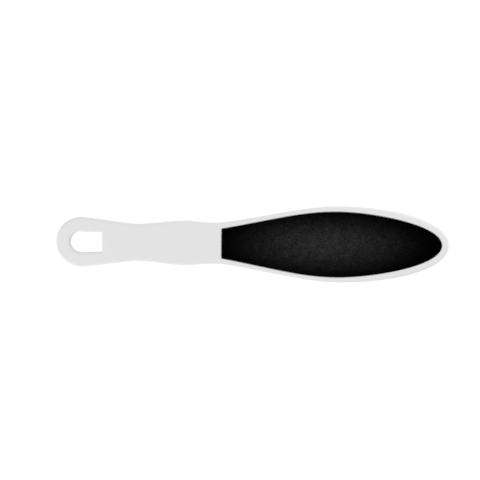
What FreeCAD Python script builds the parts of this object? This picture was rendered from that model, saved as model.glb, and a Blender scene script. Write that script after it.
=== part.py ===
# Foot file: a white moulded paddle with a sheet of black abrasive bonded into each face of its blade.
# The handle's end points to -X and the blade's tip to +X. The rear faces lie on the plane z = 0.
import FreeCAD
import Part
import Sketcher
import math
import os

# Driving dimensions in millimetres, degrees and shares. Each "_at" is a distance from the handle's end.
SIZES = {
    # Outline of the paddle
    "total_length": 260.0,
    "cap_radius": 16.5,
    "waist_at": 53.5,
    "waist_width": 24.5,
    "swell_at": 88.0,
    "swell_width": 29.5,
    "neck_at": 105.0,
    "neck_width": 27.2,
    "widest_at": 186.0,
    "blade_width": 50.6,
    # How far each curve runs level out of one station and into the next, as shares of the run between them
    "cap_leave_share": 0.12,
    "waist_meet_share": 0.18,
    "waist_leave_share": 0.31,
    "swell_meet_share": 0.43,
    "swell_leave_share": 0.12,
    "neck_meet_share": 0.56,
    "neck_leave_share": 0.18,
    "widest_meet_share": 0.29,
    "tip_round_share": 0.585,
    # Thickness of the paddle and the crown of its blade
    "handle_thickness": 6.0,
    "crown_radius": 420.0,
    "blend_start_at": 74.0,
    "blend_end_at": 106.0,
    "edge_radius": 1.8,
    "edge_wall_share": 0.45,
    # Hang hole: round towards the handle's end, flat towards the blade
    "hole_start_at": 8.7,
    "hole_length": 21.7,
    "hole_width": 14.0,
    "hole_flat_width": 13.4,
    "hole_corner_radius": 0.8,
    "hole_edge_radius": 1.4,
    # Outline of the recess that takes a sheet, set in from the blade's own outline
    "rim_width": 3.5,
    "tip_rim_width": 5.0,
    "sheet_setback": 3.3,
    "sheet_end_width": 19.8,
    "sheet_leave_share": 0.48,
    "sheet_flare_share": 0.57,
    "sheet_meet_share": 0.31,
    "sheet_taper_share": 0.33,
    "sheet_tip_share": 0.64,
    "sheet_corner_radius": 0.6,
    "sheet_clearance": 0.25,
    "rim_radius": 0.55,
    "rim_wall_share": 0.8,
    # Layers of a sheet, and how far its grit stands above the rim
    "sheet_proud": 0.2,
    "adhesive_thickness": 0.15,
    "backing_thickness": 0.5,
    "front_grit_thickness": 0.4,
    "rear_grit_thickness": 0.25,
    # How far each cut runs past what it cuts
    "overrun": 5.0,
}

SIDES = ("front", "rear")
HALF_TURN = 180
NEAR = 0.01
STEEP_SHARE = 0.99
CROWN_DEGREES = (3, 2)

Vector = FreeCAD.Vector
UP = Vector(0, 0, 1)

# Sketch places: the origin, the axes, and the points of a line or an arc
ORIGIN = (-1, 1)
X_AXIS, Y_AXIS = -1, -2
START, END, CENTRE = 1, 2, 3

# Expressions that follow from the driving dimensions
HALF_LENGTH = "sizes.total_length / 2"
HALF_BLADE = "sizes.blade_width / 2"
SHEET_START = "(sizes.blend_end_at + sizes.sheet_setback)"
SHEET_TIP = "(sizes.total_length - sizes.tip_rim_width)"
SHEET_HALF_WIDTH = f"({HALF_BLADE} - sizes.rim_width)"
SHEET_HALF_END = "sizes.sheet_end_width / 2"
CROWN_CENTRE = "(sizes.handle_thickness - sizes.sheet_proud - sizes.crown_radius)"
CROWN_DROP = f"({HALF_BLADE}) ^ 2 / (2 * sizes.crown_radius)"
HOLE_END = "(sizes.hole_start_at + sizes.hole_length)"
EDGE_WALL = f"(sizes.handle_thickness - 2 * (sizes.sheet_proud + {CROWN_DROP}))"

doc = FreeCAD.newDocument("foot_file")


# The table of driving dimensions

def make_size_table():
    """Spreadsheet with a row for each driving dimension: its name and, under an alias, its number."""
    table = doc.addObject("Spreadsheet::Sheet", "sizes")
    for row, (name, number) in enumerate(SIZES.items(), 1):
        table.set(f"A{row}", name)
        table.set(f"B{row}", str(number))
        table.setAlias(f"B{row}", name)
    doc.recompute()
    return table


size_table = make_size_table()


def value(expression):
    """Number that an expression in the driving dimensions has now."""
    return float(size_table.evalExpression(expression))


# Sketches and their bound dimensions

def new_sketch(body, name, plane):
    sketch = body.newObject("Sketcher::SketchObject", name)
    support = next(feature for feature in body.Origin.OriginFeatures if feature.Role == plane)
    sketch.AttachmentSupport = [(support, "")]
    sketch.MapMode = "FlatFace"
    return sketch


def plan_sketch(body, name):
    """Sketch in plan, with its own origin at the handle's end."""
    sketch = new_sketch(body, name, "XY_Plane")
    sketch.setExpression("AttachmentOffset.Base.x", f"-{HALF_LENGTH}")
    return sketch


def relate(sketch, kind, *places):
    sketch.addConstraint(Sketcher.Constraint(kind, *places))


def dimension(sketch, kind, places, expression):
    """Driving dimension on places of a sketch, bound to an expression in millimetres or degrees."""
    number = value(expression)
    if kind == "Angle":
        number = math.radians(number)
    index = sketch.addConstraint(Sketcher.Constraint(kind, *places, number))
    sketch.setExpression(f"Constraints[{index}]", expression)


def pin(sketch, place, x, y):
    """Holds one point of a sketch at a pair of expressions."""
    dimension(sketch, "DistanceX", ORIGIN + place, x)
    dimension(sketch, "DistanceY", ORIGIN + place, y)


def add_line(sketch, start, end):
    return sketch.addGeometry(Part.LineSegment(start, end))


def add_arc(sketch, centre, radius, first, last):
    """Arc that turns counter-clockwise from the first angle to the last, in radians."""
    return sketch.addGeometry(Part.ArcOfCircle(Part.Circle(centre, UP, radius), first, last))


def add_curve(sketch, poles):
    """Cubic curve on four poles, each a pair of expressions. All but the first are pinned."""
    curve = Part.BezierCurve()
    curve.setPoles([Vector(value(x), value(y)) for x, y in poles])
    spline = sketch.addGeometry(curve.toBSpline())
    sketch.exposeInternalGeometry(spline)
    for number, (x, y) in enumerate(poles):
        if number > 0:
            pin(sketch, (spline + 1 + number, CENTRE), x, y)
    return spline


def join_curves(sketch, before, curves):
    """Chain of cubic curves that starts at a point of the sketch."""
    for poles in curves:
        curve = add_curve(sketch, poles)
        relate(sketch, "Coincident", *before, curve, START)
        before = (curve, END)


# Features of a body

def new_body(label):
    body = doc.addObject("PartDesign::Body", label)
    body.Label = label
    return body


def add_pad(body, sketch, length):
    pad = body.newObject("PartDesign::Pad", f"{sketch.Name}_pad")
    pad.Profile = sketch
    pad.setExpression("Length", length)
    doc.recompute()


def cut_through(body, sketch):
    """Cuts a sketch in plan right through the body, up and down."""
    before = body.Shape.Volume
    pocket = body.newObject("PartDesign::Pocket", f"{sketch.Name}_cut")
    pocket.Profile = sketch
    pocket.Type = "ThroughAll"
    pocket.SideType = "Symmetric"
    doc.recompute()
    assert body.Shape.Volume < before, f"{pocket.Name} cuts nothing"


def cut_with(body, name, tools):
    """Takes the tools' solids away from the body."""
    before = body.Shape.Volume
    cut = body.newObject("PartDesign::Boolean", name)
    cut.Type = "Cut"
    cut.setObjects(tools)
    doc.recompute()
    assert body.Shape.Volume < before, f"{name} cuts nothing"


def round_edges(body, name, choose, radius):
    """Rounds the edges that choose(shape) picks out of the body's shape."""
    base = body.Tip
    chosen = choose(base.Shape)
    names = [
        f"Edge{number}" for number, edge in enumerate(base.Shape.Edges, 1)
        if any(edge.isSame(other) for other in chosen)
    ]
    assert names, f"{name} finds no edge"
    fillet = body.newObject("PartDesign::Fillet", name)
    fillet.Base = (base, names)
    fillet.setExpression("Radius", radius)
    doc.recompute()
    print(name, "rounds", len(names), "edges at", round(value(radius), 3), "mm")


def direction(edge):
    return edge.tangentAt((edge.FirstParameter + edge.LastParameter) / 2)


def middle(edge):
    return edge.valueAt((edge.FirstParameter + edge.LastParameter) / 2)


def is_upright(edge):
    return abs(direction(edge).z) > STEEP_SHARE


def upright_edges(shape, x):
    """Upright edges that stand at one X."""
    return [edge for edge in shape.Edges if is_upright(edge) and abs(middle(edge).x - x) < NEAR]


def turn_over(feature):
    """Turns a front piece about the X axis, so that it serves the rear face."""
    feature.Placement.Rotation = FreeCAD.Rotation(Vector(1, 0, 0), HALF_TURN)
    feature.setExpression("Placement.Base.z", "sizes.handle_thickness")


# Sheet outline: a straight end, two flaring sides and a round tip

def sheet_curves(sign, inset):
    """Poles of the curves along one side of the recess, drawn in by an expression.

    The sign is empty or a minus.
    One curve runs from the straight end to the widest place, the next to the tip.
    """
    start = f"({SHEET_START} + {inset})"
    tip = f"({SHEET_TIP} - {inset})"
    end_half = f"({SHEET_HALF_END} - {inset})"
    half = f"({SHEET_HALF_WIDTH} - {inset})"
    run = f"(sizes.widest_at - {start})"
    reach = f"({tip} - sizes.widest_at)"
    flare = f"({end_half} + sizes.sheet_flare_share * ({half} - {end_half}))"
    side = (
        (start, f"{sign}{end_half}"),
        (f"{start} + sizes.sheet_leave_share * {run}", f"{sign}{flare}"),
        (f"sizes.widest_at - sizes.sheet_meet_share * {run}", f"{sign}{half}"),
        ("sizes.widest_at", f"{sign}{half}"),
    )
    nose = (
        ("sizes.widest_at", f"{sign}{half}"),
        (f"sizes.widest_at + sizes.sheet_taper_share * {reach}", f"{sign}{half}"),
        (tip, f"{sign}sizes.sheet_tip_share * {half}"),
        (tip, "0"),
    )
    return side, nose


def draw_sheet_outline(sketch, inset):
    """Outline of the recess, drawn in by an expression on every side."""
    sides = [sheet_curves(sign, inset) for sign in ("-", "")]
    corners = [side[0] for side, nose in sides]
    end = add_line(sketch, *(Vector(value(x), value(y)) for x, y in corners))
    for point, corner, curves in zip((START, END), corners, sides):
        pin(sketch, (end, point), *corner)
        join_curves(sketch, (end, point), curves)


def draw_frame(sketch):
    """Rectangle that lies well outside the blade in plan."""
    low_x = f"{SHEET_START} - 2 * sizes.overrun"
    high_x = f"{SHEET_TIP} + 2 * sizes.overrun"
    half = f"({HALF_BLADE} + 2 * sizes.overrun)"
    corners = [(low_x, f"-{half}"), (high_x, f"-{half}"), (high_x, half), (low_x, half)]
    points = [Vector(value(x), value(y)) for x, y in corners]
    lines = [add_line(sketch, points[number - 1], points[number]) for number in range(len(points))]
    for number, line in enumerate(lines):
        relate(sketch, "Coincident", lines[number - 1], END, line, START)
        pin(sketch, (line, END), *corners[number])


# Layers that follow the blade's crown

def draw_crown_section(sketch, under, over):
    """Section across the blade between two heights, each counted from the crown's own surface."""
    half = f"({HALF_BLADE} + sizes.overrun)"
    centre = Vector(0, value(CROWN_CENTRE))
    arcs = []
    for height in (under, over):
        radius = f"(sizes.crown_radius + {height})"
        lean = math.asin(value(half) / value(radius))
        arc = add_arc(sketch, centre, value(radius), math.pi / 2 - lean, math.pi / 2 + lean)
        relate(sketch, "PointOnObject", arc, CENTRE, Y_AXIS)
        dimension(sketch, "DistanceY", ORIGIN + (arc, CENTRE), CROWN_CENTRE)
        dimension(sketch, "Radius", (arc,), radius)
        dimension(sketch, "DistanceX", ORIGIN + (arc, START), half)
        dimension(sketch, "DistanceX", ORIGIN + (arc, END), f"-{half}")
        arcs.append(arc)
    lower, upper = (sketch.Geometry[arc] for arc in arcs)
    for point, place in ((START, "StartPoint"), (END, "EndPoint")):
        line = add_line(sketch, getattr(lower, place), getattr(upper, place))
        relate(sketch, "Coincident", line, START, arcs[0], point)
        relate(sketch, "Coincident", line, END, arcs[1], point)


def crowned_layer(label, under, over, inset):
    """Slab of even thickness on the front crown, trimmed to the sheet's outline less an inset."""
    body = new_body(label)
    section = new_sketch(body, f"{label}_section", "YZ_Plane")
    section.setExpression("AttachmentOffset.Base.z", f"{SHEET_START} - sizes.overrun - {HALF_LENGTH}")
    draw_crown_section(section, under, over)
    add_pad(body, section, f"{SHEET_TIP} - {SHEET_START} + 2 * sizes.overrun")
    trim = plan_sketch(body, f"{label}_trim")
    draw_frame(trim)
    draw_sheet_outline(trim, inset)
    cut_through(body, trim)
    end_x = value(f"{SHEET_START} + {inset} - {HALF_LENGTH}")
    round_edges(
        body, f"{label}_corners",
        lambda shape: upright_edges(shape, end_x),
        f"sizes.sheet_corner_radius - {inset}",
    )
    return body


def sheet_floor(side):
    """Height of a recess floor, counted from the crown's surface, as an expression."""
    stack = f"sizes.adhesive_thickness + sizes.backing_thickness + sizes.{side}_grit_thickness"
    return f"(sizes.sheet_proud - ({stack}))"


def make_sheet_layers(side):
    """Adhesive, backing and grit of one abrasive sheet, each lying on the one before."""
    floor = sheet_floor(side)
    layers = []
    for layer, thickness in (
        ("adhesive", "sizes.adhesive_thickness"),
        ("backing", "sizes.backing_thickness"),
        ("grit", f"sizes.{side}_grit_thickness"),
    ):
        top = f"({floor} + {thickness})"
        layers.append(crowned_layer(f"{side}_{layer}", floor, top, "sizes.sheet_clearance"))
        floor = top
    return layers


# Moulded paddle

def side_curves(sign):
    """Poles of the curves along one side, from the cap to the tip. The sign is empty or a minus."""
    stations = (
        ("cap", "sizes.cap_radius", "sizes.cap_radius"),
        ("waist", "sizes.waist_at", "sizes.waist_width / 2"),
        ("swell", "sizes.swell_at", "sizes.swell_width / 2"),
        ("neck", "sizes.neck_at", "sizes.neck_width / 2"),
        ("widest", "sizes.widest_at", HALF_BLADE),
    )
    curves = []
    for (name, x, y), (next_name, next_x, next_y) in zip(stations, stations[1:]):
        run = f"({next_x} - {x})"
        curves.append((
            (x, f"{sign}{y}"),
            (f"{x} + sizes.{name}_leave_share * {run}", f"{sign}{y}"),
            (f"{next_x} - sizes.{next_name}_meet_share * {run}", f"{sign}{next_y}"),
            (next_x, f"{sign}{next_y}"),
        ))
    run = "(sizes.total_length - sizes.widest_at)"
    curves.append((
        ("sizes.widest_at", f"{sign}{HALF_BLADE}"),
        (f"sizes.widest_at + sizes.tip_round_share * {run}", f"{sign}{HALF_BLADE}"),
        ("sizes.total_length", f"{sign}sizes.tip_round_share * {HALF_BLADE}"),
        ("sizes.total_length", "0"),
    ))
    return curves


def draw_paddle_outline(sketch):
    """Round cap, wavy grip, leaf-shaped blade and round tip, the same on both sides of the X axis."""
    radius = value("sizes.cap_radius")
    cap = add_arc(sketch, Vector(radius, 0), radius, math.pi / 2, 3 * math.pi / 2)
    relate(sketch, "PointOnObject", cap, CENTRE, X_AXIS)
    dimension(sketch, "DistanceX", ORIGIN + (cap, CENTRE), "sizes.cap_radius")
    dimension(sketch, "Radius", (cap,), "sizes.cap_radius")
    for point, sign in ((START, ""), (END, "-")):
        relate(sketch, "Vertical", cap, CENTRE, cap, point)
        join_curves(sketch, (cap, point), side_curves(sign))


def crown_tool(name):
    """Solid of all that lies above the front crown of the blade.

    The depth below the handle's face is ease * (sheet_proud + y * y / (2 * crown_radius)). The ease goes from
    0 at blend_start to 1 at blend_end on a cubic that is level at both ends, and is 1 from there to the tip.
    """
    start = value(f"sizes.blend_start_at - {HALF_LENGTH}")
    end = value(f"sizes.blend_end_at - {HALF_LENGTH}")
    beyond = value(f"{HALF_LENGTH} + sizes.overrun")
    half = value(f"{HALF_BLADE} + sizes.overrun")
    thickness = value("sizes.handle_thickness")
    along, across = CROWN_DEGREES
    blend_step = (end - start) / along
    blade_step = (beyond - end) / along
    ease_shares = (0, 0, 1, 1, 1, 1)
    xs = (start, start + blend_step, end - blend_step, end + blade_step, beyond - blade_step, beyond)
    poles = []
    for x, ease in zip(xs, ease_shares):
        row = []
        for y, square in ((-half, half ** 2), (0, -half ** 2), (half, half ** 2)):
            depth = value("sizes.sheet_proud") + square / (2 * value("sizes.crown_radius"))
            row.append(Vector(x, y, thickness - ease * depth))
        poles.append(row)
    surface = Part.BSplineSurface()
    surface.buildFromPolesMultsKnots(
        poles,
        umults=(along + 1, along - 1, along + 1),
        vmults=(across + 1, across + 1),
        uknots=(start, end, beyond),
        vknots=(-half, half),
        udegree=along,
        vdegree=across,
    )
    tool = doc.addObject("Part::Feature", name)
    tool.Shape = surface.toShape().extrude(Vector(0, 0, value("sizes.overrun")))
    return tool


def draw_hang_hole(sketch):
    """Hole that is round at one end and flat at the other, with sides that close in a little."""
    radius = value("sizes.hole_width / 2")
    centre_x = value("sizes.hole_start_at + sizes.hole_width / 2")
    flat_x = value("sizes.hole_start_at + sizes.hole_length")
    flat_half = value("sizes.hole_flat_width / 2")
    span = math.hypot(flat_x - centre_x, flat_half)
    touch = math.atan2(flat_half, flat_x - centre_x) + math.acos(radius / span)
    arc = add_arc(sketch, Vector(centre_x, 0), radius, touch, 2 * math.pi - touch)
    flat = add_line(sketch, Vector(flat_x, flat_half), Vector(flat_x, -flat_half))
    relate(sketch, "PointOnObject", arc, CENTRE, X_AXIS)
    dimension(sketch, "DistanceX", ORIGIN + (arc, CENTRE), "sizes.hole_start_at + sizes.hole_width / 2")
    dimension(sketch, "Radius", (arc,), "sizes.hole_width / 2")
    relate(sketch, "Symmetric", flat, START, flat, END, X_AXIS)
    dimension(sketch, "DistanceX", ORIGIN + (flat, START), "sizes.hole_start_at + sizes.hole_length")
    dimension(sketch, "DistanceY", ORIGIN + (flat, START), "sizes.hole_flat_width / 2")
    for point, side in ((START, 1), (END, -1)):
        touching = Vector(centre_x + radius * math.cos(touch), side * radius * math.sin(touch))
        line = add_line(sketch, touching, Vector(flat_x, side * flat_half))
        relate(sketch, "Tangent", arc, point, line, START)
        relate(sketch, "Coincident", line, END, flat, point)


def is_wall(face):
    """Whether a face stands upright at its middle."""
    first_u, last_u, first_v, last_v = face.ParameterRange
    return abs(face.normalAt((first_u + last_u) / 2, (first_v + last_v) / 2).z) < 1 - STEEP_SHARE


def walls_between(shape, low, high, half_width):
    """Upright faces whose corners all lie between two distances from the handle's end, near the X axis."""
    low_x = value(f"{low} - {HALF_LENGTH}") - NEAR
    high_x = value(f"{high} - {HALF_LENGTH}") + NEAR
    half_y = value(half_width) + NEAR
    return [
        face for face in shape.Faces
        if is_wall(face)
        and all(low_x < corner.X < high_x and abs(corner.Y) < half_y for corner in face.Vertexes)
    ]


def level_edges(wall):
    """Edges along the top and the foot of a wall."""
    return [edge for edge in wall.Edges if not is_upright(edge)]


def outline_edges(shape):
    walls = walls_between(shape, "0", "sizes.total_length", HALF_BLADE)
    return [edge for wall in walls for edge in level_edges(wall)]


def hang_hole_edges(shape):
    walls = walls_between(shape, "sizes.hole_start_at", HOLE_END, "sizes.hole_width / 2")
    return [edge for wall in walls for edge in level_edges(wall)]


def rim_edges(shape):
    """Edges where the walls of the recesses meet the crowns of the blade."""
    centre_z = value("sizes.handle_thickness / 2")
    walls = walls_between(shape, SHEET_START, SHEET_TIP, SHEET_HALF_WIDTH)
    return [max(level_edges(wall), key=lambda edge: abs(middle(edge).z - centre_z)) for wall in walls]


def make_handle_body():
    """One moulding: grip with a hang hole, and blade with a rim around a recess in each face."""
    body = new_body("handle_body")
    outline = plan_sketch(body, "paddle_outline")
    draw_paddle_outline(outline)
    add_pad(body, outline, "sizes.handle_thickness")

    crowns = [crown_tool("front_crown"), crown_tool("rear_crown")]
    turn_over(crowns[-1])
    cut_with(body, "crowns", crowns)
    edge_limit = f"sizes.edge_wall_share * {EDGE_WALL}"
    round_edges(body, "outer_edges", outline_edges, f"min(sizes.edge_radius; {edge_limit})")

    hole = plan_sketch(body, "hang_hole")
    draw_hang_hole(hole)
    cut_through(body, hole)
    flat_x = value(f"{HOLE_END} - {HALF_LENGTH}")
    round_edges(body, "hole_corners", lambda shape: upright_edges(shape, flat_x), "sizes.hole_corner_radius")
    round_edges(body, "hole_edges", hang_hole_edges, "sizes.hole_edge_radius")

    recesses = [crowned_layer(f"{side}_recess", sheet_floor(side), "sizes.overrun", "0") for side in SIDES]
    turn_over(recesses[-1])
    cut_with(body, "recesses", recesses)
    rim_limit = f"-sizes.rim_wall_share * max({'; '.join(sheet_floor(side) for side in SIDES)})"
    round_edges(body, "rims", rim_edges, f"min(sizes.rim_radius; {rim_limit})")
    return body


# Assembly, checks and files

def make_pieces():
    """The paddle and the layers of both sheets, the rear ones turned over into their recess."""
    front_layers, rear_layers = (make_sheet_layers(side) for side in SIDES)
    for layer in rear_layers:
        turn_over(layer)
    pieces = [make_handle_body(), *front_layers, *rear_layers]
    doc.recompute()
    return pieces


def check(pieces):
    """Stops if any object of the document failed, or a piece is not one sound solid."""
    for feature in doc.Objects:
        assert not {"Invalid", "Error"} & set(feature.State), f"{feature.Label} failed"
    for piece in pieces:
        shape = piece.Shape
        assert not shape.isNull() and shape.isValid(), f"{piece.Label} has no sound shape"
        assert len(shape.Solids) == 1, f"{piece.Label} is not one solid"


def write(pieces):
    os.makedirs("parts", exist_ok=True)
    for piece in pieces:
        box = piece.Shape.optimalBoundingBox()
        print(f"{piece.Label}: {box.XLength:.2f} x {box.YLength:.2f} x {box.ZLength:.2f} mm,", end=" ")
        print(f"z {box.ZMin:.2f} to {box.ZMax:.2f}, {piece.Shape.Volume:.1f} mm3")
        piece.Shape.exportStep(f"parts/{piece.Label}.step")


pieces = make_pieces()
check(pieces)
write(pieces)
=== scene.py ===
# %% [markdown]
# A foot file is a plain tool: one white moulded paddle, with a black abrasive sheet bonded into each
# face. The construction is already done, and comes in as a fixed frame of named nodes at real size, in
# metres. This lesson gives every surface its finish, grows real grains on the two sheets, and sets up the
# studio.

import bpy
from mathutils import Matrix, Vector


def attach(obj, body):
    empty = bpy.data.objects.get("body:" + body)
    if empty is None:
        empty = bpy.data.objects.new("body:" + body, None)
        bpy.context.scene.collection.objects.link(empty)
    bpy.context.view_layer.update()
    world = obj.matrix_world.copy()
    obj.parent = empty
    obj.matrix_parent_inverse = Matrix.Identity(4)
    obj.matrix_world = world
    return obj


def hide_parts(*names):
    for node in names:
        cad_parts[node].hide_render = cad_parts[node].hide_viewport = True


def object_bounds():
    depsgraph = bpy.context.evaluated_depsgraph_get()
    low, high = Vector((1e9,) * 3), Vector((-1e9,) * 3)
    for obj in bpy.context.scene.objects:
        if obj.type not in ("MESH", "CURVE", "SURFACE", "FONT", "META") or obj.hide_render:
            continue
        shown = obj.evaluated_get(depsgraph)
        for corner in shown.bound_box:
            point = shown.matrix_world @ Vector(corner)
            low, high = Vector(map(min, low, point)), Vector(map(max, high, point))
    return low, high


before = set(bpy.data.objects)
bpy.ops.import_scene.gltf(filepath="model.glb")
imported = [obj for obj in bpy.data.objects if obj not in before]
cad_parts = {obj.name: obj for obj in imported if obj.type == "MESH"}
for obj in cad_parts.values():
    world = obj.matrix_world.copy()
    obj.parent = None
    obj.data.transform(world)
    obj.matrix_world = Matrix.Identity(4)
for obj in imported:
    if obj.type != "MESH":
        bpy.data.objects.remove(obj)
cad_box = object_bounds()
print("nodes:", sorted(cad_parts))

# %% [markdown]
# Besides Blender's own module we need numpy, which works on whole arrays of points at once, and mathutils
# for places and directions. Sizes are written in millimetres times MM, because the frame is in metres.

# %% Tools of the lesson
import math

import bpy
import numpy as np
from mathutils import Matrix, Vector

MM = 0.001
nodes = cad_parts
scene = bpy.context.scene
print("object box in mm:", [round(side / MM, 2) for side in cad_box[1] - cad_box[0]])

# %% [markdown]
# The camera comes first, because it decides which details matter. The file was photographed almost from
# straight above. Through the hang hole we see the wall that faces the top of the picture, so the camera
# leans a few degrees to that side. A camera can be aimed with a Track To constraint, but a matrix built
# from three directions lets us add the small roll exactly, with no lens shift.

# %% Camera
IMAGE_SIDE_PX = 480
FOCAL_PX = 632.3
FILE_CENTRE_PX = (252.6, 243.6)
CAMERA_DISTANCE = 420 * MM
CAMERA_LEAN = math.radians(4.5)
CAMERA_ROLL = math.radians(0.6)
NEAREST_SEEN = CAMERA_DISTANCE / 100
SENSOR_WIDTH = 36


def camera_axes():
    """The picture's right and up directions, and the direction back to the camera.

    back = (0, sin lean, cos lean), and right and up are turned about it by the roll.
    """
    along = Vector((1, 0, 0))
    lean_up = Vector((0, math.cos(CAMERA_LEAN), -math.sin(CAMERA_LEAN)))
    back = Vector((0, math.sin(CAMERA_LEAN), math.cos(CAMERA_LEAN)))
    right = along * math.cos(CAMERA_ROLL) + lean_up * math.sin(CAMERA_ROLL)
    up = lean_up * math.cos(CAMERA_ROLL) - along * math.sin(CAMERA_ROLL)
    return right, up, back


def make_camera():
    """Camera that is moved in its own plane until the file's centre falls on its pixel."""
    right, up, back = camera_axes()
    centre = (cad_box[0] + cad_box[1]) / 2
    per_pixel = CAMERA_DISTANCE / FOCAL_PX
    aside = (FILE_CENTRE_PX[0] - IMAGE_SIDE_PX / 2) * per_pixel
    below = (FILE_CENTRE_PX[1] - IMAGE_SIDE_PX / 2) * per_pixel
    lens = bpy.data.cameras.new("camera")
    lens.sensor_width = SENSOR_WIDTH
    lens.lens = SENSOR_WIDTH * FOCAL_PX / IMAGE_SIDE_PX
    lens.clip_start = NEAREST_SEEN
    holder = bpy.data.objects.new("camera", lens)
    holder.matrix_world = Matrix((right, up, back)).transposed().to_4x4()
    holder.location = centre + back * CAMERA_DISTANCE - right * aside + up * below
    scene.collection.objects.link(holder)
    scene.camera = holder
    return holder


camera = make_camera()
print("camera at mm", [round(v / MM, 1) for v in camera.location], "lens", round(camera.data.lens, 1))

# %% [markdown]
# Light and finishes are small trees of nodes. A few helpers keep the trees short: an input of a node is
# either linked to another node's output or set to a plain value, and inputs are called by their names. A
# Math node is the exception, because all its inputs have the same name, so its inputs are filled in
# order.

# %% Node helpers
def join(tree, given, socket):
    """Links an output to an input, or sets the input to a plain value."""
    if isinstance(given, bpy.types.NodeSocket):
        tree.links.new(given, socket)
    else:
        socket.default_value = given


def fill(tree, node, **inputs):
    """Fills inputs of a node by their names."""
    for name, given in inputs.items():
        join(tree, given, node.inputs[name.replace("_", " ")])


def add_node(tree, kind, settings=None, **inputs):
    """Adds a node of one kind, with its own settings and its inputs."""
    node = tree.nodes.new(kind)
    for name, setting in (settings or {}).items():
        setattr(node, name, setting)
    fill(tree, node, **inputs)
    return node


def arithmetic(tree, operation, *inputs):
    """Adds a Math node, fills its inputs in order and gives its result."""
    node = add_node(tree, "ShaderNodeMath", {"operation": operation})
    for given, socket in zip(inputs, node.inputs):
        join(tree, given, socket)
    return node.outputs["Value"]


def spread(tree, value, low, high, **settings):
    """Carries a value from the range 0 to 1 into another range."""
    node = add_node(tree, "ShaderNodeMapRange", settings, Value=value, To_Min=low, To_Max=high)
    return node.outputs["Result"]


trial = bpy.data.node_groups.new("trial", "ShaderNodeTree")
print("inputs of a Math node:", [socket.name for socket in add_node(trial, "ShaderNodeMath").inputs])
bpy.data.node_groups.remove(trial)

# %% [markdown]
# The studio is a white sweep with soft light from all round, so the first light is the world itself. It
# lights the file at its own level, but behind the file and in reflections it should show plain white. One
# brightness can't do both. A Light Path node tells the camera's rays and reflections from the rays that
# only carry light.

# %% World
WORLD_LEVEL = 0.87
WHITE = (1, 1, 1, 1)


def eye_choice(tree, other, eye):
    """One number for rays of the camera, mirrors and glass, and another for all other rays."""
    rays = tree.nodes.new("ShaderNodeLightPath").outputs
    seen = arithmetic(tree, "MAXIMUM", rays["Is Camera Ray"], rays["Is Glossy Ray"])
    seen = arithmetic(tree, "MAXIMUM", seen, rays["Is Transmission Ray"])
    return spread(tree, seen, other, eye)


def make_world():
    """World that lights at one level and shows plain white to the camera and in reflections."""
    world = bpy.data.worlds.new("studio")
    scene.world = world
    world.use_nodes = True
    tree = world.node_tree
    fill(tree, tree.nodes["Background"], Color=WHITE, Strength=eye_choice(tree, WORLD_LEVEL, 1))


make_world()
scene.view_settings.view_transform = "Standard"
print("world level", WORLD_LEVEL, "view", scene.view_settings.view_transform)

# %% [markdown]
# A white world alone would flatten the rim. So two broad, low lamps face each other across the file, one
# beyond the grip at the lower left and one beyond the tip at the upper right. They brighten the rounded
# rim on those two sides and leave the other two a little grey. One small lamp would throw a hard shadow
# that the picture does not have. World and lamps add up to about one, so a colour renders about as it is
# written.

# %% Lamps
LAMP_SIDE = 0.2
LAMPS = {
    "grip_lamp": {"place": Vector((-0.4, -0.36, 0.12)), "power": 0.65},
    "tip_lamp": {"place": Vector((0.36, 0.3, 0.12)), "power": 0.45},
}


def make_lamp(name, place, power):
    """Square lamp that faces the file's centre."""
    lamp = bpy.data.lights.new(name, "AREA")
    lamp.size = LAMP_SIDE
    lamp.energy = power
    holder = bpy.data.objects.new(name, lamp)
    holder.location = place
    holder.rotation_euler = (-place).to_track_quat("-Z", "Y").to_euler()
    scene.collection.objects.link(holder)


for lamp_name, lamp_facts in LAMPS.items():
    make_lamp(lamp_name, **lamp_facts)
    print(lamp_name, "stands", round(lamp_facts["place"].length, 2), "m from the file")

# %% [markdown]
# Moulded plastic, adhesive and resin all vary slightly from place to place: a cloudy drift in shade or
# gloss. That drift is one node group, built once and placed in each material with its own size and
# strength. It reads Object coordinates, so it stays fixed to the piece from any side and needs no
# unwrapped map.

# %% Shared drift group
def make_drift_group():
    """Group whose Value wanders about 1: 1 + Strength * (2 * noise - 1), on Object coordinates."""
    group = bpy.data.node_groups.new("drift", "ShaderNodeTree")
    for name in ("Scale", "Detail", "Strength"):
        group.interface.new_socket(name, in_out="INPUT", socket_type="NodeSocketFloat")
    for name in ("Value", "Noise"):
        group.interface.new_socket(name, in_out="OUTPUT", socket_type="NodeSocketFloat")
    given = group.nodes.new("NodeGroupInput")
    made = group.nodes.new("NodeGroupOutput")
    place = group.nodes.new("ShaderNodeTexCoord")
    noise = add_node(group, "ShaderNodeTexNoise", Vector=place.outputs["Object"],
                     Scale=given.outputs["Scale"], Detail=given.outputs["Detail"])
    swing = spread(group, noise.outputs["Fac"], -1.0, 1.0)
    wander = arithmetic(group, "MULTIPLY_ADD", swing, given.outputs["Strength"], 1)
    fill(group, made, Value=wander, Noise=noise.outputs["Fac"])
    return group


drift_group = make_drift_group()


def add_drift(tree, scale, detail, strength):
    """Places the drift group in a material."""
    return add_node(tree, "ShaderNodeGroup", {"node_tree": drift_group},
                    Scale=scale, Detail=detail, Strength=strength)


print("group sockets:", [item.name for item in drift_group.interface.items_tree])

# %% [markdown]
# We dress the file from the inside out and start with the simplest finish. A film of adhesive holds each
# sheet in its recess. Only its cut edge shows, down in the narrow gap round the sheet, so it keeps its
# CAD shape and gets a cloudy amber tint. Three helpers serve this and every later finish: one starts a
# material, one scales a colour by a value that changes over the surface, and one puts the material on a
# piece.

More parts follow.
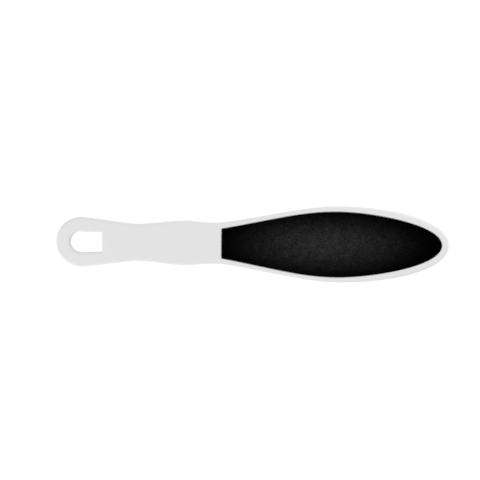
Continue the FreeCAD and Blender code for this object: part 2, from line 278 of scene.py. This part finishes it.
# %% Adhesive film
SIDES = ("front", "rear")
FILM_COLOUR = (0.5, 0.46, 0.36)
FILM_ROUGHNESS = 0.35


def new_material(name):
    """Material with a plain Principled shader, and the tree and shader to work on."""
    material = bpy.data.materials.new(name)
    material.use_nodes = True
    tree = material.node_tree
    return material, tree, tree.nodes["Principled BSDF"]


def tinted(tree, colour, value):
    """A colour scaled by a value that changes over the surface."""
    scaled = add_node(tree, "ShaderNodeVectorMath", {"operation": "SCALE"}, Vector=colour, Scale=value)
    return scaled.outputs["Vector"]


def dress(piece, material):
    """Gives a piece one material in place of whatever it came with."""
    piece.data.materials.clear()
    piece.data.materials.append(material)


def make_adhesive_film():
    """Cloudy amber film with a soft gloss."""
    material, tree, shader = new_material("adhesive_film")
    cloud = add_drift(tree, scale=500, detail=3, strength=0.15)
    fill(tree, shader, Base_Color=tinted(tree, FILM_COLOUR, cloud.outputs["Value"]),
         Roughness=FILM_ROUGHNESS)
    return material


film = make_adhesive_film()
for side in SIDES:
    dress(nodes[f"{side}_adhesive"], film)
print("dressed with", film.name, [f"{side}_adhesive" for side in SIDES])

# %% [markdown]
# On the film lies the backing of the sheet, resin-filled paper. It too shows only its cut edge and keeps
# its CAD shape. An image of paper would need an unwrapped map, so the fibres are noise that a Mapping
# node stretches along the file. The same noise serves twice, for the shade and for the bump.

# %% Backing paper
PAPER_COLOUR = (0.02, 0.02, 0.02)
PAPER_ROUGHNESS = 0.85
FIBRES_PER_METRE = (900, 2600, 2600)
FIBRE_SHADES = (0.6, 1.4)
FIBRE_HEIGHT = 0.05 * MM
FIBRE_STRENGTH = 0.5


def make_backing_paper():
    """Dark paper: stretched noise for the fibres, in the colour and in the bump."""
    material, tree, shader = new_material("backing_paper")
    place = tree.nodes.new("ShaderNodeTexCoord")
    stretched = add_node(tree, "ShaderNodeMapping", Vector=place.outputs["Object"], Scale=FIBRES_PER_METRE)
    noise = add_node(tree, "ShaderNodeTexNoise", Vector=stretched.outputs["Vector"], Scale=1.0, Detail=4.0)
    fibres = noise.outputs["Fac"]
    bump = add_node(tree, "ShaderNodeBump", Height=fibres, Distance=FIBRE_HEIGHT, Strength=FIBRE_STRENGTH)
    fill(tree, shader, Base_Color=tinted(tree, PAPER_COLOUR, spread(tree, fibres, *FIBRE_SHADES)),
         Normal=bump.outputs["Normal"], Roughness=PAPER_ROUGHNESS)
    return material


paper = make_backing_paper()
for side in SIDES:
    dress(nodes[f"{side}_backing"], paper)
print("dressed with", paper.name, [f"{side}_backing" for side in SIDES])

# %% [markdown]
# The paddle is injection moulded in a white plastic such as polystyrene. The mould is lightly blasted, so
# the skin is satin with a fine pebble in it. The two halves of the mould meet at mid height and leave a
# hair-thin parting line round the edge. Both are too fine to model, so they are bumps, one on top of the
# other. The CAD node already has the right shape, so it stays, and only gets this finish.

# %% White moulded plastic
PLASTIC_COLOUR = (0.795, 0.795, 0.795)
PLASTIC_ROUGHNESS = 0.45
PLASTIC_REFLECTION = 0.3
PEBBLE_HEIGHT = 0.04 * MM
PEBBLE_STRENGTH = 0.35
PARTING_HEIGHT = (cad_box[0].z + cad_box[1].z) / 2
PARTING_HALF_WIDTH = 0.12 * MM
PARTING_RIDGE = 0.05 * MM


def parting_line(tree):
    """Ridge on the mould's parting plane: 1 on the plane, falling smoothly to 0 at the half width."""
    place = tree.nodes.new("ShaderNodeTexCoord")
    split = add_node(tree, "ShaderNodeSeparateXYZ", Vector=place.outputs["Object"])
    apart = arithmetic(tree, "ABSOLUTE", arithmetic(tree, "SUBTRACT", split.outputs["Z"], PARTING_HEIGHT))
    ridge = add_node(tree, "ShaderNodeMapRange", {"interpolation_type": "SMOOTHSTEP"}, Value=apart,
                     From_Max=PARTING_HALF_WIDTH, To_Min=1.0, To_Max=0.0)
    return ridge.outputs["Result"]


def make_moulded_plastic():
    """Satin white: slow shade drift, gloss drift, and a fine pebble and a parting line for the bump."""
    material, tree, shader = new_material("moulded_plastic")
    shade = add_drift(tree, scale=38, detail=3, strength=0.012)
    gloss = add_drift(tree, scale=120, detail=4, strength=0.22)
    pebble = add_drift(tree, scale=2600, detail=2, strength=1)
    skin = add_node(tree, "ShaderNodeBump", Height=pebble.outputs["Noise"], Distance=PEBBLE_HEIGHT,
                    Strength=PEBBLE_STRENGTH)
    seam = add_node(tree, "ShaderNodeBump", Height=parting_line(tree), Distance=PARTING_RIDGE,
                    Normal=skin.outputs["Normal"])
    fill(tree, shader, Base_Color=tinted(tree, PLASTIC_COLOUR, shade.outputs["Value"]),
         Roughness=arithmetic(tree, "MULTIPLY", PLASTIC_ROUGHNESS, gloss.outputs["Value"]),
         Normal=seam.outputs["Normal"], Specular_IOR_Level=PLASTIC_REFLECTION)
    return material


dress(nodes["handle_body"], make_moulded_plastic())
print("handle triangles:", len(nodes["handle_body"].data.polygons))

# %% [markdown]
# The grit is what the tool is for, so it gets real grains and not only a bump. In CAD each grit layer is
# one even slab. A particle system could scatter a stone for every grain, but would need far more faces. A
# height field does it in one mesh: a fine grid laid over the sheet, where each point takes the height of
# the tallest grain near it. First we read the sheet's outline and crown from its CAD node, so that the
# new skin fits the slab.

# %% Outline and crown of a sheet
# A triangle that faces up or down by less than this is part of a wall.
STEEP = 0.5
# Digits of a metre that tell two corners of the outline apart.
OUTLINE_DIGITS = 7


def mesh_arrays(mesh):
    """Points, corners of the triangles, and how far each triangle faces up, from -1 to 1."""
    points = np.empty(len(mesh.vertices) * 3, np.float32)
    mesh.vertices.foreach_get("co", points)
    corners = np.empty(len(mesh.loops), np.int32)
    mesh.loops.foreach_get("vertex_index", corners)
    normals = np.empty(len(mesh.polygons) * 3, np.float32)
    mesh.polygons.foreach_get("normal", normals)
    return points.reshape(-1, 3).astype(float), corners.reshape(-1, 3), normals.reshape(-1, 3)[:, 2]


def sheet_facts(side):
    """Outline and crown of a grit layer, read from its CAD mesh.

    The outline comes from the corners of the upright walls: half width |y| as a function of x.
    The crown is z = top - outward * bend * y * y, fitted to the corners of the outer face.
    """
    points, corners, facing = mesh_arrays(nodes[f"{side}_grit"].data)
    outward = 1 if side == "front" else -1
    wall = points[corners[np.abs(facing) < STEEP].ravel()]
    outline = np.column_stack([wall[:, 0], np.abs(wall[:, 1])])
    outline = np.unique(outline.round(OUTLINE_DIGITS), axis=0)
    outer = points[corners[facing * outward > STEEP].ravel()]
    inner = points[corners[facing * outward < -STEEP].ravel()]
    slope, top = np.polyfit(outer[:, 1] ** 2, outer[:, 2], 1)
    base = np.polyfit(inner[:, 1] ** 2, inner[:, 2], 1)[1]
    return {"x": outline[:, 0], "half": outline[:, 1], "bend": -slope * outward, "top": top,
            "outward": outward, "thickness": abs(top - base)}


sheets = {side: sheet_facts(side) for side in SIDES}
for side, facts in sheets.items():
    print(side, "sheet: half width mm", round(facts["half"].max() / MM, 2), "thickness mm",
          round(facts["thickness"] / MM, 3), "top mm", round(facts["top"] / MM, 3))

# %% [markdown]
# A crushed grain is roughly a pyramid. Scatter one pyramid in each cell of a coarse grid, each with its
# own place, turn, size and height, and take the highest at every point. A grain hardly reaches past the
# cells next to its own, so nine shifted look-ups are enough, and each one works on all points at once.

# %% Grain field
# Place and reach are shares of a cell, and the peak is a share of the full height.
GRAIN_PLACE = (0.15, 0.85)
GRAIN_TURN = (0, math.pi / 2)
GRAIN_REACH = (0.75, 1.25)
GRAIN_PEAK = (0.45, 1.0)
NEIGHBOURS = (-1, 0, 1)


def grain_field(x, y, spacing, random):
    """Height from 0 to 1 of crushed grains at each point.

    A grain at c, turned by a, with reach r and peak p, has height p * (1 - (|u| + |v|) / r), where u and v
    are the point's offsets from c along the turned axes. The field is the highest grain of nine cells.
    """
    column = np.floor(x / spacing).astype(int)
    row = np.floor(y / spacing).astype(int)
    first_column = column.min() - 1
    first_row = row.min() - 1
    column -= first_column
    row -= first_row
    shape = (column.max() + 2, row.max() + 2)
    place_x, place_y = random.uniform(*GRAIN_PLACE, (2, *shape))
    turn = random.uniform(*GRAIN_TURN, shape)
    reach = spacing * random.uniform(*GRAIN_REACH, shape)
    peak = random.uniform(*GRAIN_PEAK, shape)
    height = np.zeros_like(x)
    for step_x in NEIGHBOURS:
        for step_y in NEIGHBOURS:
            cell = (column + step_x, row + step_y)
            off_x = x - (cell[0] + first_column + place_x[cell]) * spacing
            off_y = y - (cell[1] + first_row + place_y[cell]) * spacing
            along = off_x * np.cos(turn[cell]) + off_y * np.sin(turn[cell])
            across = off_y * np.cos(turn[cell]) - off_x * np.sin(turn[cell])
            pyramid = peak[cell] * (1 - (np.abs(along) + np.abs(across)) / reach[cell])
            height = np.maximum(height, pyramid)
    return height


sample_line = np.linspace(0, 10, 101)
sample_x, sample_y = np.meshgrid(sample_line, sample_line)
sample = grain_field(sample_x, sample_y, spacing=1.0, random=np.random.default_rng(0))
print("sample of grains: mean height", round(sample.mean(), 2), "highest", round(sample.max(), 2))

# %% [markdown]
# The grid has columns along the file and rows across it. Columns crowd together towards the round tip,
# where the outline turns fast. Points are shaken a little, so that the grid itself doesn't show. Rows
# that pass the outline are pulled back onto it, so the edge is a clean cut.

# %% Grid over a sheet
GRID_STEP = 0.28 * MM
NOSE_LENGTH = 6 * MM
EDGE_MARGIN = 0.35 * GRID_STEP
SHAKE_SHARE = 0.3


def sheet_columns(facts):
    """Place and half width of each column.

    The columns are even up to the nose, and there lie at tip - nose length * s * s, for s from 1 to 0.
    """
    start, tip = facts["x"].min(), facts["x"].max()
    even = np.arange(start, tip - NOSE_LENGTH, GRID_STEP)
    left = np.linspace(1, 0, int(2 * NOSE_LENGTH / GRID_STEP)) ** 2
    column_x = np.concatenate([even, tip - NOSE_LENGTH * left])
    half = np.interp(column_x, facts["x"], facts["half"])
    half[-1] = 0
    return column_x, half


def shaken_grid(column_x, half, random):
    """Points x and y of the grid, and which of them lie inside the outline.

    Inside: x = column + shake, y = row + shake. Outside: y = sign(row) * half width.
    The first column and the nose keep their x, so that the ends stay true.
    """
    reach = int(np.ceil(half.max() / GRID_STEP)) + 1
    rows = np.arange(-reach, reach + 1)
    limit = half[:, None]
    shape = (len(column_x), len(rows))
    shake_x, shake_y = random.uniform(-SHAKE_SHARE, SHAKE_SHARE, (2, *shape)) * GRID_STEP
    shake_x[column_x > column_x[-1] - NOSE_LENGTH] = 0
    shake_x[0] = 0
    inside = np.abs(rows * GRID_STEP) < limit - EDGE_MARGIN
    x = column_x[:, None] + np.where(inside, shake_x, 0)
    y = np.where(inside, np.clip(rows * GRID_STEP + shake_y, -limit, limit), np.sign(rows) * limit)
    return x, y, inside


for side, facts in sheets.items():
    print(side, "columns:", len(sheet_columns(facts)[0]))

# %% [markdown]
# A grid of point numbers turns into faces by sliding it against itself by one column and one row. Outside
# the outline many rows share one point, so some faces close to a line there, and those are dropped.

# %% Faces from a grid
def welded_numbers(inside):
    """Point number at each place of the grid, where all rows outside the outline share the point on it."""
    columns, rows = inside.shape
    middle = rows // 2
    crossed = inside.any(1)
    lowest = np.where(crossed, inside.argmax(1) - 1, middle)
    highest = np.where(crossed, rows - inside[:, ::-1].argmax(1), middle)
    row = np.clip(np.arange(rows), lowest[:, None], highest[:, None])
    return np.arange(columns)[:, None] * rows + row


def grid_triangles(number):
    """Two triangles for each step of the grid, (a, b, c) and (a, c, d), less those closed to a line."""
    a, b, c, d = number[:-1, :-1], number[1:, :-1], number[1:, 1:], number[:-1, 1:]
    both = np.concatenate([np.stack([a, b, c], -1).reshape(-1, 3), np.stack([a, c, d], -1).reshape(-1, 3)])
    sound = (both != np.roll(both, 1, axis=1)).all(1)
    return both[sound]


print("triangles of a grid of 3 by 4 points:", len(grid_triangles(np.arange(12).reshape(3, 4))))

# %% [markdown]
# Now the skin itself. Grains stand on the crown above, a coarse copy of the crown lies below, and walls
# join the two, so each grit layer is a closed solid. It takes the place of the CAD slab and rides on the
# same body.

# %% Grit skins
UNDERSIDE_ROWS = 9
GRAINS = {
    "front": {"spacing": 0.62 * MM, "depth": 0.24 * MM, "seed": 16},
    "rear": {"spacing": 0.4 * MM, "depth": 0.12 * MM, "seed": 15},
}


def grain_side(facts, column_x, half, spacing, depth, seed):
    """Outer points, z = -bend * y * y - depth * (1 - grain height), and which lie inside the outline."""
    random = np.random.default_rng(seed)
    x, y, inside = shaken_grid(column_x, half, random)
    z = -facts["bend"] * y ** 2 - depth * (1 - grain_field(x, y, spacing, random))
    return np.stack([x, y, z], -1), inside


def bonded_side(facts, column_x, half):
    """Inner points, z = -bend * y * y - thickness, with rows at even shares of the half width."""
    y = half[:, None] * np.linspace(-1, 1, UNDERSIDE_ROWS)
    x = np.repeat(column_x[:, None], UNDERSIDE_ROWS, axis=1)
    return np.stack([x, y, -facts["bend"] * y ** 2 - facts["thickness"]], -1)


def layer_faces(above, under):
    """Triangles of both sides and of the walls along the edges, and the outline of the flat end."""
    left_wall = np.column_stack([above[:, -1], under[:, -1]])
    right_wall = np.column_stack([under[:, 0], above[:, 0]])
    grids = (above, under[:, ::-1], left_wall, right_wall)
    end_wall = np.concatenate([np.unique(above[0]), under[0, ::-1]])
    return np.concatenate([grid_triangles(grid) for grid in grids]), end_wall


def grit_mesh(name, facts, grains):
    """Closed mesh of one grit layer. The rear one is the same thing turned about the X axis."""
    column_x, half = sheet_columns(facts)
    outer, inside = grain_side(facts, column_x, half, **grains)
    inner = bonded_side(facts, column_x, half)
    under = inside.size + np.arange(inner.size // 3).reshape(inner.shape[:2])
    under[-1] = under[-1, 0]
    points = np.concatenate([outer.reshape(-1, 3), inner.reshape(-1, 3)])
    points[:, 1] *= facts["outward"]
    points[:, 2] = facts["top"] + facts["outward"] * points[:, 2]
    triangles, end_wall = layer_faces(welded_numbers(inside), under)
    used, fresh = np.unique(triangles, return_inverse=True)
    faces = fresh.reshape(-1, 3).tolist()
    faces.append(np.searchsorted(used, end_wall).tolist())
    mesh = bpy.data.meshes.new(name)
    mesh.from_pydata(points[used].tolist(), [], faces)
    mesh.validate()
    return mesh


def make_grit(side):
    """Grains of one side, riding on the file in place of the CAD slab."""
    mesh = grit_mesh(f"{side}_grains", sheets[side], GRAINS[side])
    piece = bpy.data.objects.new(f"{side}_grains", mesh)
    scene.collection.objects.link(piece)
    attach(piece, "root")
    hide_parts(f"{side}_grit")
    return piece


grit = {side: make_grit(side) for side in SIDES}
for side, piece in grit.items():
    print(side, "grains:", len(piece.data.vertices), "points,", len(piece.data.polygons), "faces")

# %% [markdown]
# Such grit is usually crushed silicon carbide in black resin. Each grain takes its own shade from a cell
# pattern. The middle of the sheet is painted a little greyer than the edges. This is a painted sheen that
# stands in for a broad highlight, and towards the edges the colour falls to a painted near-black shade.
# One even black would hide the grains, and an image would repeat, so both effects are worked out from the
# place.

# %% Black grit
# The painted sheen: the grit's colour is lighter round this centre and within these reaches, as under a
# broad highlight.
SHEEN_CENTRE = 48 * MM
SHEEN_REACH_ALONG = 75 * MM
SHEEN_REACH_ACROSS = 24.3 * MM
GRAIN_SHADES = (0.55, 1.45)
GRAIN_ROUGHNESS = (0.45, 0.8)
GRIT_REFLECTION = 0.004
# In each finish, middle and edge are the shades of the painted sheen, at its centre and at its rim.
GRIT_FINISHES = {
    "front": {"name": "coarse_black_grit", "cell": 0.7 * MM, "middle": 0.0225, "edge": 0.0003},
    "rear": {"name": "fine_black_grit", "cell": 0.4 * MM, "middle": 0.024, "edge": 0.002},
}


def painted_sheen_shade(tree, place, middle, edge):
    """Painted sheen: a shade that goes smoothly from the middle's, lighter like a broad highlight, to the
    edge's across an ellipse.

    The share of the way is the length of ((x - centre) / reach along, y / reach across), up to 1.
    """
    centred = add_node(tree, "ShaderNodeMapping", Vector=place,
                       Location=(-SHEEN_CENTRE / SHEEN_REACH_ALONG, 0, 0),
                       Scale=(1 / SHEEN_REACH_ALONG, 1 / SHEEN_REACH_ACROSS, 0))
    share = add_node(tree, "ShaderNodeVectorMath", {"operation": "LENGTH"},
                     Vector=centred.outputs["Vector"])
    return spread(tree, share.outputs["Value"], middle, edge, interpolation_type="SMOOTHSTEP")


def make_black_grit(name, cell, middle, edge):
    """Black grit: a shade and a gloss for each grain from cells, a painted sheen in the middle, and slow
    blotches.
    """
    material, tree, shader = new_material(name)
    place = tree.nodes.new("ShaderNodeTexCoord").outputs["Object"]
    cells = add_node(tree, "ShaderNodeTexVoronoi", {"feature": "F1"}, Vector=place, Scale=1 / cell)
    split = add_node(tree, "ShaderNodeSeparateColor", Color=cells.outputs["Color"])
    grain = spread(tree, split.outputs["Red"], *GRAIN_SHADES)
    blotch = add_drift(tree, scale=210, detail=3, strength=0.55)
    # The grain shades are scaled by the painted sheen: lighter in the middle, painted near-black at the
    # edges.
    sheened = arithmetic(tree, "MULTIPLY", grain, painted_sheen_shade(tree, place, middle, edge))
    blotched = arithmetic(tree, "MULTIPLY", sheened, blotch.outputs["Value"])
    fill(tree, shader, Base_Color=tinted(tree, WHITE[:3], blotched),
         Roughness=spread(tree, split.outputs["Green"], *GRAIN_ROUGHNESS),
         Specular_IOR_Level=GRIT_REFLECTION)
    return material


for side, finish in GRIT_FINISHES.items():
    dress(grit[side], make_black_grit(**finish))
    print(side, "grains dressed with", finish["name"])

# %% [markdown]
# The floor is the white sweep under the file. In the studio it is lit more strongly than the file, so it
# shows pure white. To the eye most of that white is a glow of its own here, and the rest comes from
# ordinary diffuse light, so the file still drops the faintest soft shadow on it. To other rays it is
# plain white paint.

# %% Floor
FLOOR_SIDE = 6.0
FLOOR_DROP = 0.1 * MM
FLOOR_GLOW = 0.93
FLOOR_COLOUR = 0.12
PAINT_COLOUR = 0.8


def make_floor():
    """Square sheet just under the file."""
    corners = np.array([(-1, -1), (1, -1), (1, 1), (-1, 1)]) * FLOOR_SIDE / 2
    points = np.column_stack([corners, np.full(len(corners), cad_box[0].z - FLOOR_DROP)])
    mesh = bpy.data.meshes.new("floor")
    mesh.from_pydata(points.tolist(), [], [(0, 1, 2, 3)])
    floor = bpy.data.objects.new("floor", mesh)
    scene.collection.objects.link(floor)
    return floor


def make_sweep_white():
    """White that glows to the eye, with a little diffuse light on top for the shadow."""
    material, tree, shader = new_material("sweep_white")
    fill(tree, shader, Base_Color=eye_choice(tree, PAINT_COLOUR, FLOOR_COLOUR),
         Emission_Strength=eye_choice(tree, 0, FLOOR_GLOW), Emission_Color=WHITE,
         Roughness=1, Specular_IOR_Level=0)
    return material


dress(make_floor(), make_sweep_white())
print("floor side in m:", FLOOR_SIDE)
